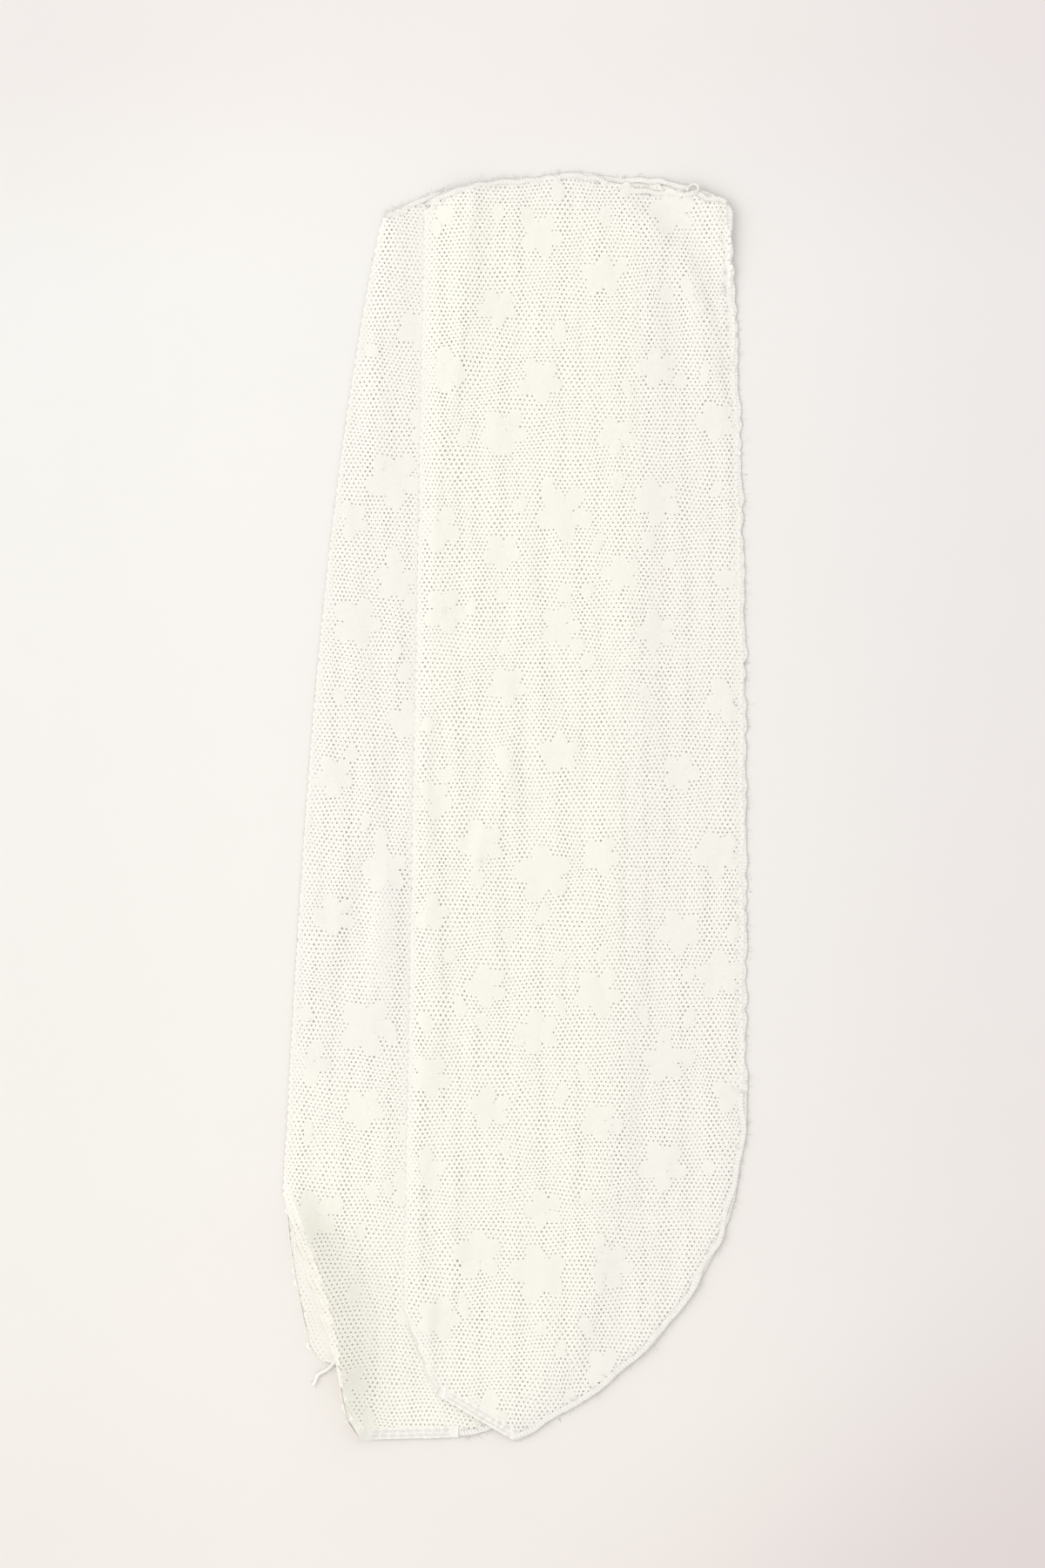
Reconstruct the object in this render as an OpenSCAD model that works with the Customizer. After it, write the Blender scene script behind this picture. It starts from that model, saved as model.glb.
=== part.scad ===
// A pair of long fingerless lace gloves, folded flat and stacked one on the other.
// Each glove is one lace panel folded lengthwise and closed by an overlocked side seam.
// +Y runs towards the hands, +X from the folded sides to the seams, and Z = 0 is the table.

/* [Gloves] */
// Flat width of the lower glove at its hand opening
lower_hand_w = 85; // [80:1:90]
// Flat width of the upper glove at its hand opening, which lies stretched wider
upper_hand_w = 98.2; // [94:0.2:102]
// Widening of each side of the lower glove towards the arm, in degrees
lower_taper = 2.1; // [1.7:0.1:2.5]
// Widening of each side of the upper glove towards the arm, in degrees
upper_taper = 1.1; // [0.8:0.1:1.4]
// Length of the side seam, from the hand opening to the start of the arm curve
seam_len = 286; // [276:1:296]
// How far the arm curve runs straight on from the seam before it turns
curve_lead = 58; // [45:1:65]
// How far the middle of the hand opening stands out past its two corners
hand_bow = 9; // [5:0.5:11]
// How far the folded side of the lower glove bows out
fold_bow = 6.5; // [0:0.5:8]
// How far the side seams bow out
seam_bow = 2.6; // [0:0.2:4]

/* [Lace] */
// Thickness of one layer of lace, with its raised motifs
lace_t = 0.8; // [0.6:0.1:1]
// Space left inside a flat glove between its two layers
inner_gap = 0.6; // [0.4:0.1:1.6]

/* [Edges] */
// Width of the overlocked side seam
seam_w = 3; // [2:0.25:4]
// Width of the overlocked edge round the hand opening
hand_edge_w = 2.5; // [1.5:0.25:3.5]
// Width of the overlocked edge along the arm curve
arm_edge_w = 3; // [2:0.25:4]
// Depth of the turned hem at the arm opening
hem_w = 4; // [3:0.25:5]
// Length of one stitch of the hem's topstitching
stitch_len = 2; // [1.5:0.1:3]
// Thickness of a loose chain of sewing thread
thread_d = 1.2; // [0.8:0.1:1.6]

/* [Stacking] */
// How far the lower glove leans to the right at its hand end, in degrees
lower_tilt = 3.8; // [3:0.1:4.5]
// How far the upper glove leans to the right at its hand end, in degrees
upper_tilt = 0; // [-0.5:0.1:0.5]
// Distance from the middle of the lower hand opening to the middle of the upper one
upper_shift = 19.6; // [17:0.2:22]
// How much further up the upper hand opening lies than the lower one
upper_rise = 5.8; // [4:0.2:8]
// Space between the two gloves where one lies on the other
stack_gap = 0.5; // [0.4:0.1:1.2]
// Width of the slope where the upper glove comes down to the table past the lower one
drop_run = 9; // [6:0.5:12]

/* [Hidden] */

glove_t = 2 * lace_t + inner_gap;
lift = glove_t + stack_gap;
front_z = lace_t + inner_gap;
past_all = 400;
tall = 3 * lift;
curve_steps = 14;
side_steps = 8;
dome_steps = 12;

// The middles of the two hand openings. The lower one is set so that the pair's box
// is centred on the origin.
lower_at = [0.4, 188.2];
upper_at = lower_at + [upper_shift, upper_rise];

// Where each glove's fold bends in. The lower glove's corner is turned under, so its
// fold bends in sooner.
lower_bend_v = -318;
upper_bend_v = -355;

// Where each glove's hem starts, on the folded side, and where it ends at the tip of
// the arm curve, from the middle of the hand opening.
lower_hem = [[-24.5, -394.5], [8, -391.5]];
upper_hem = [[-45.6, -383], [-20.1, -398]];
lower_curve_pull = [34, 8];
upper_curve_pull = [41.6, 19.5];

ivory = [0.96, 0.95, 0.91];
thread_white = [0.97, 0.97, 0.95];
chain_grey = [0.86, 0.86, 0.85];

hem_row_gap = 1.5;
stitch_w = 0.4;
stitch_t = 0.3;
stitch_pitch = 1.4 * stitch_len;
tail_len = 10;
tail_root = 2;
tail_drop = 56;
tail_turn = 225;
curl_r = 2.4;
curl_in = 13;
curl_rise = 7;
curl_turn = 250;
joined_end = 1.5;
dome_power = 2.5;
swell_power = 0.75;

function unit(d) = d / norm(d);
function left_of(d) = [-d[1], d[0]];

// The point where the line through p along d meets the line through q along e.
function meet(p, d, q, e) =
    p + d * ((q - p) * left_of(e)) / (d * left_of(e));

function hand_half(upper) = (upper ? upper_hand_w : lower_hand_w) / 2;
function side_slope(upper) = tan(upper ? upper_taper : lower_taper);
function bend_v(upper) = upper ? upper_bend_v : lower_bend_v;
function hem_ends(upper) = upper ? upper_hem : lower_hem;

// The two sides of a flat glove at v, which is zero at the hand opening's corners and
// negative towards the arm, and the hand opening's own edge at u.
function half_w(upper, v) = hand_half(upper) - v * side_slope(upper);
function swell(v, len) = sin(180 * pow(max(0, -v / len), swell_power));
function seam_u(upper, v) = half_w(upper, v) + seam_bow * swell(v, seam_len);
function fold_u(upper, v) =
    -half_w(upper, v) - (upper ? 0 : fold_bow) * swell(v, -bend_v(upper));
function hand_v(upper, u) =
    hand_bow * (1 - pow(min(1, abs(u) / hand_half(upper)), dome_power));

// Points down the seam side and the folded side, and across the hand opening.
function seam_line(upper, inset, from_v) =
    [for (i = [0:side_steps])
        let (v = from_v + (-seam_len - from_v) * i / side_steps)
        [seam_u(upper, v) - inset, v]];
function fold_line(upper, inset, from_v) =
    [for (i = [0:side_steps])
        let (v = from_v + (bend_v(upper) - from_v) * i / side_steps)
        [fold_u(upper, v) + inset, v]];
function hand_line(upper, drop, from_u, to_u) =
    [for (i = [0:dome_steps])
        let (u = from_u + (to_u - from_u) * i / dome_steps)
        [u, hand_v(upper, u) - drop]];
function backwards(points) = [for (i = [len(points) - 1:-1:0]) points[i]];

// The arm curve is a cubic from the end of the seam to the tip.
function curve_poles(upper) =
    let (start = [half_w(upper, -seam_len), -seam_len], tip = hem_ends(upper)[1])
    let (pull = upper ? upper_curve_pull : lower_curve_pull)
    [start, start + curve_lead * [side_slope(upper), -1], tip + pull, tip];
function on_curve(p, t) =
    pow(1 - t, 3) * p[0] + 3 * t * pow(1 - t, 2) * p[1]
    + 3 * t * t * (1 - t) * p[2] + pow(t, 3) * p[3];
function curve_way(p, t) =
    unit(pow(1 - t, 2) * (p[1] - p[0]) + 2 * t * (1 - t) * (p[2] - p[1])
         + t * t * (p[3] - p[2]));
function curve_in(p, t, inset) =
    on_curve(p, t) - inset * left_of(curve_way(p, t));
function curve_line(upper, inset, to_t) =
    [for (i = [0:curve_steps]) curve_in(curve_poles(upper), to_t * i / curve_steps, inset)];

// The hem runs from the tip to the folded side, and hem_w is its depth.
function hem_way(upper) = unit(hem_ends(upper)[0] - hem_ends(upper)[1]);
function hem_inner_tip(upper) =
    let (out_hem = left_of(hem_way(upper)))
    let (out_both = unit(out_hem + left_of(curve_way(curve_poles(upper), 1))))
    hem_ends(upper)[1] - hem_w / (out_both * out_hem) * out_both;
function hem_inner_fold(upper, inset) =
    let (corner = hem_ends(upper)[0], bend = [fold_u(upper, bend_v(upper)), bend_v(upper)])
    meet(hem_ends(upper)[1] - hem_w * left_of(hem_way(upper)), hem_way(upper),
         corner + [inset, 0], unit(corner - bend));

// One layer of lace inside its edges, next to the bend of its fold.
module layer_outline(upper) {
    v = -hand_edge_w;
    polygon(concat(
        hand_line(upper, hand_edge_w, fold_u(upper, v) + lace_t, seam_u(upper, v) - seam_w),
        seam_line(upper, seam_w, v - hand_edge_w),
        curve_line(upper, arm_edge_w, 0.97),
        [hem_inner_tip(upper), hem_inner_fold(upper, lace_t)],
        backwards(fold_line(upper, lace_t, v - hand_edge_w))
    ));
}

// The strip where the panel turns over along the folded side.
module fold_outline(upper) {
    v = -hand_edge_w;
    top = [fold_u(upper, v), hand_v(upper, fold_u(upper, v)) - hand_edge_w];
    inner_top_u = top[0] + lace_t;
    polygon(concat(
        [top], fold_line(upper, 0, v - hand_edge_w),
        [hem_inner_fold(upper, 0), hem_inner_fold(upper, lace_t)],
        backwards(fold_line(upper, lace_t, v - hand_edge_w)),
        [[inner_top_u, hand_v(upper, inner_top_u) - hand_edge_w]]
    ));
}

module seam_outline(upper) {
    v = -hand_edge_w;
    top_u = seam_u(upper, v) - seam_w;
    outer = seam_line(upper, 0, v);
    inner = seam_line(upper, seam_w, v - hand_edge_w);
    polygon(concat(
        [[top_u, hand_v(upper, top_u) - hand_edge_w]],
        [for (i = [0:side_steps - 1]) outer[i]],
        [on_curve(curve_poles(upper), 0), curve_in(curve_poles(upper), 0, seam_w)],
        backwards([for (i = [0:side_steps - 1]) inner[i]])
    ));
}

module hand_edge_outline(upper) {
    v = -hand_edge_w;
    half = hand_half(upper);
    inner = hand_line(upper, hand_edge_w, fold_u(upper, v) + lace_t, seam_u(upper, v) - seam_w);
    polygon(concat(
        hand_line(upper, 0, -half, half),
        [[seam_u(upper, v), v]],
        backwards(inner),
        [[fold_u(upper, v), hand_v(upper, fold_u(upper, v)) - hand_edge_w]]
    ));
}

module arm_edge_outline(upper) {
    polygon(concat(
        curve_line(upper, 0, 1),
        [hem_inner_tip(upper)],
        backwards(curve_line(upper, arm_edge_w, 0.97))
    ));
}

module hem_outline(upper) {
    ends = hem_ends(upper);
    polygon([ends[1], ends[0], hem_inner_fold(upper, 0), hem_inner_tip(upper)]);
}

// The space inside the hem, run out past its open sides.
module hem_gap_outline(upper) {
    way = hem_way(upper);
    away = hem_w * left_of(way);
    fold_in = [lace_t, 0];
    ends = hem_ends(upper);
    polygon([
        ends[1] + away - hem_w * way, ends[0] + fold_in + away,
        ends[0] + fold_in, hem_inner_fold(upper, lace_t),
        hem_inner_fold(upper, lace_t) - away,
        hem_inner_tip(upper) - away - hem_w * way
    ]);
}

// A level layer for the lower glove. For the upper one, the same layer is draped over
// the lower glove's seam and down to the table.
module lower_slab(from_z, to_z) {
    translate([0, 0, from_z])
        linear_extrude(to_z - from_z)
            square(2 * past_all, center = true);
}

module upper_slab(from_z, to_z) {
    crest = stack_gap + seam_bow;
    translate([lower_at[0], lower_at[1], 0])
        rotate([0, 0, -lower_tilt])
            translate([hand_half(false), 0, 0])
                rotate([90, 0, lower_taper])
                    linear_extrude(2 * past_all, center = true)
                        polygon([
                            [-past_all, lift + from_z], [crest, lift + from_z],
                            [crest + drop_run, from_z], [past_all, from_z],
                            [past_all, to_z], [crest + drop_run, to_z],
                            [crest, lift + to_z], [-past_all, lift + to_z]
                        ]);
}

module slab(upper, from_z, to_z) {
    if (upper) upper_slab(from_z, to_z);
    else lower_slab(from_z, to_z);
}

// Stands the outline that it is given at a glove's place, between two heights.
module at_glove(upper, from_z, to_z) {
    at = upper ? upper_at : lower_at;
    intersection() {
        translate([at[0], at[1], 0])
            rotate([0, 0, upper ? -upper_tilt : -lower_tilt])
                translate([0, 0, -1])
                    linear_extrude(tall + 2)
                        children();
        slab(upper, from_z, to_z);
    }
}

module lace_front(upper) {
    color(ivory)
        at_glove(upper, front_z, glove_t) layer_outline(upper);
}

module lace_back(upper) {
    color(ivory)
        at_glove(upper, 0, lace_t) layer_outline(upper);
}

module lace_fold(upper) {
    color(ivory)
        at_glove(upper, 0, glove_t) fold_outline(upper);
}

module side_seam(upper) {
    color(thread_white)
        at_glove(upper, 0, glove_t) seam_outline(upper);
}

// A closed loop of edging: its two layers meet only at the fold and at the seam.
module hand_edge(upper) {
    half = hand_half(upper);
    color(thread_white)
        difference() {
            at_glove(upper, 0, glove_t) hand_edge_outline(upper);
            at_glove(upper, lace_t, front_z)
                translate([lace_t - half, -2 * hand_edge_w])
                    square([2 * half - lace_t - seam_w, 3 * hand_edge_w + hand_bow]);
        }
}

module arm_edge(upper) {
    start_u = half_w(upper, -seam_len);
    color(thread_white)
        difference() {
            at_glove(upper, 0, glove_t) arm_edge_outline(upper);
            at_glove(upper, lace_t, front_z)
                translate([start_u - past_all + seam_w, -seam_len - joined_end - past_all])
                    square(past_all);
        }
}

module hem_band(upper) {
    color(thread_white)
        difference() {
            at_glove(upper, 0, glove_t) hem_outline(upper);
            at_glove(upper, lace_t, front_z) hem_gap_outline(upper);
        }
}

// Two rows of stitches on the top face of the hem.
module hem_topstitch(upper) {
    ends = hem_ends(upper);
    way = hem_way(upper);
    run = norm(ends[0] - ends[1]) - 2 * hem_w;
    inward = -left_of(way);
    color(thread_white)
        at_glove(upper, glove_t, glove_t + stitch_t)
            for (row = [-0.5, 0.5], along = [0:stitch_pitch:run])
                translate(ends[1] + (hem_w + along) * way
                          + (hem_w / 2 + row * hem_row_gap) * inward)
                    rotate(atan2(way[1], way[0]))
                        translate([0, -stitch_w / 2])
                            square([stitch_len, stitch_w]);
}

// The end of the seam's thread chain, lying out from the turned corner.
module lower_thread_tail() {
    bend = [fold_u(false, lower_bend_v), lower_bend_v];
    root = bend + tail_drop * unit(lower_hem[0] - bend);
    color(chain_grey)
        difference() {
            translate([lower_at[0], lower_at[1], thread_d / 2])
                rotate([0, 0, -lower_tilt])
                    translate([root[0], root[1], 0])
                        rotate([0, 90, tail_turn])
                            translate([0, 0, -tail_root])
                                cylinder(h = tail_len + tail_root, d = thread_d, $fn = 24);
            at_glove(false, -1, glove_t + 1) {
                fold_outline(false);
                layer_outline(false);
            }
        }
}

// The start of the seam's thread chain, curled up at the hand end.
module upper_thread_tail() {
    color(thread_white)
        translate([upper_at[0], upper_at[1], 0])
            rotate([0, 0, -upper_tilt])
                translate([hand_half(true) - curl_in, curl_rise, thread_d / 2])
                    rotate([0, 0, -60])
                        rotate_extrude(angle = curl_turn, $fn = 48)
                            translate([curl_r, 0])
                                circle(d = thread_d, $fn = 24);
}

lace_front(false);  // lower_lace_front
lace_back(false);  // lower_lace_back
lace_fold(false);  // lower_lace_fold
side_seam(false);  // lower_side_seam
hand_edge(false);  // lower_hand_edge
arm_edge(false);  // lower_arm_edge
hem_band(false);  // lower_hem_band
hem_topstitch(false);  // lower_hem_topstitch
lower_thread_tail();
lace_front(true);  // upper_lace_front
lace_back(true);  // upper_lace_back
lace_fold(true);  // upper_lace_fold
side_seam(true);  // upper_side_seam
hand_edge(true);  // upper_hand_edge
arm_edge(true);  // upper_arm_edge
hem_band(true);  // upper_hem_band
hem_topstitch(true);  // upper_hem_topstitch
upper_thread_tail();
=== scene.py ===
"""Looks for a pair of long fingerless lace gloves, folded flat and stacked.

The lace is real mesh: a hexagonal net with dense stripes and raised flowers, laid out flat in
glove coordinates and then mapped onto the folded, draped gloves. Lengths are in millimetres
until a mesh is made. Glove coordinates are u across and v along, with v = 0 at the corners of
the hand opening and negative towards the arm.
"""

import math

import bpy
import numpy as np
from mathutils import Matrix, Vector


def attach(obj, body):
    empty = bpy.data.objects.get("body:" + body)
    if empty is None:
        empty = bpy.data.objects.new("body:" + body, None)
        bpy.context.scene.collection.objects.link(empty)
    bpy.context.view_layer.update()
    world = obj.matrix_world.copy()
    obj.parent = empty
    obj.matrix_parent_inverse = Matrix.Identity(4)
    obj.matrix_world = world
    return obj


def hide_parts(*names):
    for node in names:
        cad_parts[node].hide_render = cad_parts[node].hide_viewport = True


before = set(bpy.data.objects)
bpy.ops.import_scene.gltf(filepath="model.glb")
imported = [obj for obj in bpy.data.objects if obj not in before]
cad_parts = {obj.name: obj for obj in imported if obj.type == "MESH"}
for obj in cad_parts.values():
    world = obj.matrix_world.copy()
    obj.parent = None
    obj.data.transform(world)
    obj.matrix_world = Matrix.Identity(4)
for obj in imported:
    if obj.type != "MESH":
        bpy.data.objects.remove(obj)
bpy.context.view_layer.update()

MM = 0.001

# ---------------------------------------------------------------- gloves, as the CAD has them

SEAM_LEN = 286.0
CURVE_LEAD = 58.0
HAND_BOW = 9.0
SEAM_BOW = 2.6
DOME_POWER = 2.5
SWELL_POWER = 0.75
LOWER_AT = (0.4, 188.2)
UPPER_AT = (20.0, 194.0)


class Glove:
    """One folded glove's outline, and the way from glove coordinates to the row frame."""

    def __init__(self, name, at, tilt, hand_w, taper, fold_bow, bend_v, hem, curve_pull):
        self.name = name
        self.at = np.array(at)
        self.tilt = math.radians(tilt)
        self.half = hand_w / 2
        self.slope = math.tan(math.radians(taper))
        self.fold_bow = fold_bow
        self.bend_v = bend_v
        self.hem = np.array(hem, float)
        start = np.array([self.half + SEAM_LEN * self.slope, -SEAM_LEN])
        self.poles = np.array(
            [
                start,
                start + CURVE_LEAD * np.array([self.slope, -1.0]),
                self.hem[1] + np.array(curve_pull),
                self.hem[1],
            ]
        )
        bend = np.array([self.fold_u(bend_v), bend_v])
        along = (self.hem[0] - bend) / np.linalg.norm(self.hem[0] - bend)
        self.bend, self.turn_way = bend, along
        self.turn_in = np.array([-along[1], along[0]])

    def half_w(self, v):
        return self.half - v * self.slope

    def swell(self, v, length):
        share = np.clip(-np.asarray(v, float) / length, 0, 1)
        return np.sin(np.pi * share**SWELL_POWER)

    def seam_u(self, v):
        return self.half_w(v) + SEAM_BOW * self.swell(v, SEAM_LEN)

    def fold_u(self, v):
        return -self.half_w(v) - self.fold_bow * self.swell(v, -self.bend_v)

    def hand_v(self, u):
        return HAND_BOW * (1 - np.minimum(1, np.abs(u) / self.half) ** DOME_POWER)

    def curve(self, t):
        t = np.asarray(t, float)[:, None]
        p = self.poles
        return (
            (1 - t) ** 3 * p[0]
            + 3 * t * (1 - t) ** 2 * p[1]
            + 3 * t * t * (1 - t) * p[2]
            + t**3 * p[3]
        )

    def outline(self, inset=0.0):
        """The flat glove's outline, clockwise from the left corner of the hand opening."""
        across = np.linspace(-self.half, self.half, 25)
        top = np.stack([across, self.hand_v(across)], 1)
        down = np.linspace(0, -SEAM_LEN, 25)[1:]
        side = np.stack([self.seam_u(down), down], 1)
        arm = self.curve(np.linspace(0, 1, 25)[1:])
        up = np.linspace(self.bend_v, 0, 29)[:-1]
        fold = np.stack([self.fold_u(up), up], 1)
        ring = np.concatenate([top, side, arm, self.hem[:1], fold])
        if inset:
            away = np.roll(ring, -1, 0) - np.roll(ring, 1, 0)
            away /= np.linalg.norm(away, axis=1)[:, None]
            ring = ring + inset * np.stack([away[:, 1], -away[:, 0]], 1)
        return ring

    def world(self, u, v):
        c, s = math.cos(self.tilt), math.sin(self.tilt)
        return self.at[0] + c * u + s * v, self.at[1] - s * u + c * v

    def flat(self, x, y):
        c, s = math.cos(self.tilt), math.sin(self.tilt)
        x, y = x - self.at[0], y - self.at[1]
        return c * x - s * y, s * x + c * y

    def from_fold(self, u, v):
        """How far points are inside the folded side, and the inward way there."""
        side = u - self.fold_u(v)
        turn = (u - self.bend[0]) * self.turn_in[0] + (v - self.bend[1]) * self.turn_in[1]
        by_side = side < turn
        way_u = np.where(by_side, 1.0, self.turn_in[0])
        way_v = np.where(by_side, 0.0, self.turn_in[1])
        return np.where(by_side, side, turn), way_u, way_v


LOWER = Glove(
    "lower", LOWER_AT, 3.8, 85.0, 2.1, 6.5, -318.0, [[-24.5, -394.5], [8, -391.5]], [34, 8]
)
UPPER = Glove(
    "upper", UPPER_AT, 0.0, 98.2, 1.1, 0.0, -355.0, [[-45.6, -383], [-20.1, -398]], [41.6, 19.5]
)

# ---------------------------------------------------------------- small helpers


def smooth(t):
    t = np.clip(t, 0, 1)
    return t * t * (3 - 2 * t)


def ripple(x, y, seed, across, along, count=9):
    """Soft seeded waves about 1 high: across and along are their usual lengths in X and Y."""
    rng = np.random.default_rng(seed)
    total = 0.0
    for _ in range(count):
        kx = 2 * np.pi / (across * rng.uniform(0.7, 1.5)) * rng.choice([-1, 1])
        ky = 2 * np.pi / (along * rng.uniform(0.7, 1.5))
        total = total + np.sin(kx * x + ky * y + rng.uniform(0, 2 * np.pi))
    return total / math.sqrt(count / 2)


def to_line(x, y, line):
    """Distance from points to an open line, the side they are on, and how far along it."""
    line = np.array(line, float)
    best = np.full(np.shape(x), 1e9)
    side = np.ones(np.shape(x))
    along = np.zeros(np.shape(x))
    steps = np.linalg.norm(np.diff(line, axis=0), axis=1)
    done = np.concatenate([[0], np.cumsum(steps)])
    for i, (a, b) in enumerate(zip(line[:-1], line[1:])):
        d = b - a
        t = np.clip(((x - a[0]) * d[0] + (y - a[1]) * d[1]) / (d @ d), 0, 1)
        far = np.hypot(x - a[0] - t * d[0], y - a[1] - t * d[1])
        near = far < best
        best = np.where(near, far, best)
        cross = d[0] * (y - a[1]) - d[1] * (x - a[0])
        side = np.where(near, np.sign(cross), side)
        along = np.where(near, (done[i] + t * steps[i]) / done[-1], along)
    return best, side, along


def inside_by(x, y, ring):
    """How far points are inside a closed ring, and negative outside it."""
    best, _, _ = to_line(x, y, np.concatenate([ring, ring[:1]]))
    inside = np.zeros(np.shape(x), bool)
    for a, b in zip(ring, np.roll(ring, -1, 0)):
        spans = (a[1] > y) != (b[1] > y)
        rise = b[1] - a[1] if b[1] != a[1] else 1e-9
        inside ^= spans & (x < (b[0] - a[0]) * (y - a[1]) / rise + a[0])
    return np.where(inside, best, -best)


def new_piece(name, points, faces, material):
    """A smooth-shaded mesh object from points in millimetres."""
    mesh = bpy.data.meshes.new(name)
    mesh.from_pydata((np.asarray(points) * MM).tolist(), [], faces)
    mesh.polygons.foreach_set("use_smooth", [True] * len(mesh.polygons))
    mesh.materials.append(material)
    mesh.update()
    piece = bpy.data.objects.new(name, mesh)
    bpy.context.scene.collection.objects.link(piece)
    return piece


def joined(parts):
    """Several (points, faces) made into one."""
    points, faces, count = [], [], 0
    for p, f in parts:
        points.append(p)
        faces.extend([[i + count for i in face] for face in f])
        count += len(p)
    return np.concatenate(points), faces


# ---------------------------------------------------------------- how the gloves lie

REST_Z = 0.3
LAYER_GAP = 0.45
GLOVE_REST = 0.32
DROP_RUN = 8.0
LEAST_GAP = 0.22
CREASE_H = 10.5
CREASE = [(-74, -118), (-69.8, -130.7), (-65.7, -139.7), (-60.3, -156.1)]
CREASE += [(-56.6, -171.5), (-55.2, -186), (-51, -202)]

# Folds of the lower glove's front layer: a line drawn towards the arm, how far the fold reaches
# to its left and to its right, and its height.
LOWER_FOLDS = (
    ([(-40, 200), (-41, 175), (-43, 140), (-45, 100)], 5, 11, 0.6),
    ([(-44, 22), (-50, -8), (-57, -38), (-60, -60)], 8, 6, 0.5),
    ([(-33, 30), (-37.4, -14), (-43, -33), (-46, -70)], 6, 12, 0.7),
)
LOWER_RIDGE = [(-42, -10), (-44, -75), (-44, -140)]

# The ridge beside the upper glove's fold: for each Y, how far right of the fold, and how high.
RIDGE_Y = [-190.0, -150.0, 0.0, 60.0, 94.0, 136.0, 199.0, 206.0]
RIDGE_IN = [4.5, 4.5, 4.5, 4.8, 5.6, 11.5, 16.0, 16.5]
RIDGE_H = [0.0, 0.6, 0.8, 0.8, 0.9, 1.3, 1.9, 1.9]

# Lines of the upper glove's other folds.
HAND_ARC = [(30.5, 206), (44, 196), (58.5, 180.6), (68.3, 155.4), (72, 120)]
HAND_FOLD = [(26, 201), (38.5, 191.5), (53, 176.5), (62.5, 153), (66.5, 120)]
MIDDLE_VALLEY = [(-6.5, 20), (-8, 10), (-12.5, -4), (-17.5, -22), (-19, -34)]
MIDDLE_FOLD = [(-3, 24), (-5, 8), (-9, -6), (-13.5, -22), (-14.5, -38)]
ARM_FOLD = [(-26.5, -148), (-28.5, -172), (-28.5, -199)]

LOWER_RING = np.stack(LOWER.world(*LOWER.outline().T), 1)
UPPER_RING = np.stack(UPPER.world(*UPPER.outline().T), 1)


def groove(x, y, line, width, depth, ends=0.18):
    """A soft valley along a line, or a ridge where depth is negative, fading at its ends."""
    far, _, along = to_line(x, y, line)
    fade = smooth(along / ends) * smooth((1 - along) / ends) if ends else 1.0
    return -depth * np.exp(-((far / width) ** 2)) * fade


def bank(x, y, line, left, right, height, ends=0.18):
    """A fold along a line drawn towards the arm: it rises over left and falls over right."""
    far, side, along = to_line(x, y, line)
    fade = smooth(along / ends) * smooth((1 - along) / ends)
    return height * fade * (1 - smooth(far / np.where(side > 0, right, left)))


# Past the crease, the folded corner's back layer lies out on the table as a thin flap.
FLAP_RING = np.array(
    [(-72, -118), (-73.4, -128), (-72.4, -140), (-70.9, -149.7), (-68.4, -163), (-66, -174)]
    + [(-62.5, -178.5), (-56.8, -181), (-55.6, -190), (-53.8, -198), (-50.2, -203)]
    + [(-44, -202), (-52, -180), (-60, -150)],
    float,
)
FLAP_RING = np.stack(LOWER.flat(*FLAP_RING.T), 1)
FLAP_EDGE = 11


def pressed(glove, u, v):
    """The share of the gap between two layers that is left near the fold and sewn edges."""
    far, _, _ = glove.from_fold(u, v)
    to_seam = glove.seam_u(np.maximum(v, -SEAM_LEN)) - u
    to_hand = glove.hand_v(u) - v
    return 0.1 + 0.9 * smooth(np.minimum(np.minimum(far, to_seam), to_hand) / 6)


def crease_share(x, y):
    """How high a point is on the slope to the right of the lower glove's crease, from 0 to 1."""
    off, side, along = to_line(x, y, CREASE)
    rise = smooth(along / 0.3) * (1 - 0.4 * smooth((along - 0.7) / 0.3))
    slope_w = 6.0 + 9.0 * np.exp(-(((along - 0.5) / 0.3) ** 2))
    slope = np.where(side > 0, (1 - np.clip(off / slope_w, 0, 1)) ** 1.7, 1 - smooth(off / 2.2))
    return rise * slope, side


def lower_layers(x, y):
    """Heights of the lower glove's back and front layers."""
    back = REST_Z + 0.04 * ripple(x, y, 11, 14, 60)
    gap = LAYER_GAP + 0.09 * ripple(x, y, 12, 13, 130) + 0.03 * ripple(x, y, 13, 8, 25)
    u, v = LOWER.flat(x, y)
    front = back + np.maximum(gap * pressed(LOWER, u, v), LEAST_GAP)
    # A crease across the corner at the arm stands up, and the lace slopes down to its right.
    front = front + CREASE_H * crease_share(x, y)[0]
    for line, left, right, height in LOWER_FOLDS:
        front = front + bank(x, y, line, left, right, height)
    front = front + groove(x, y, LOWER_RIDGE, 5.0, -0.7)
    return back, np.maximum(front, back + LEAST_GAP)


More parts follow.
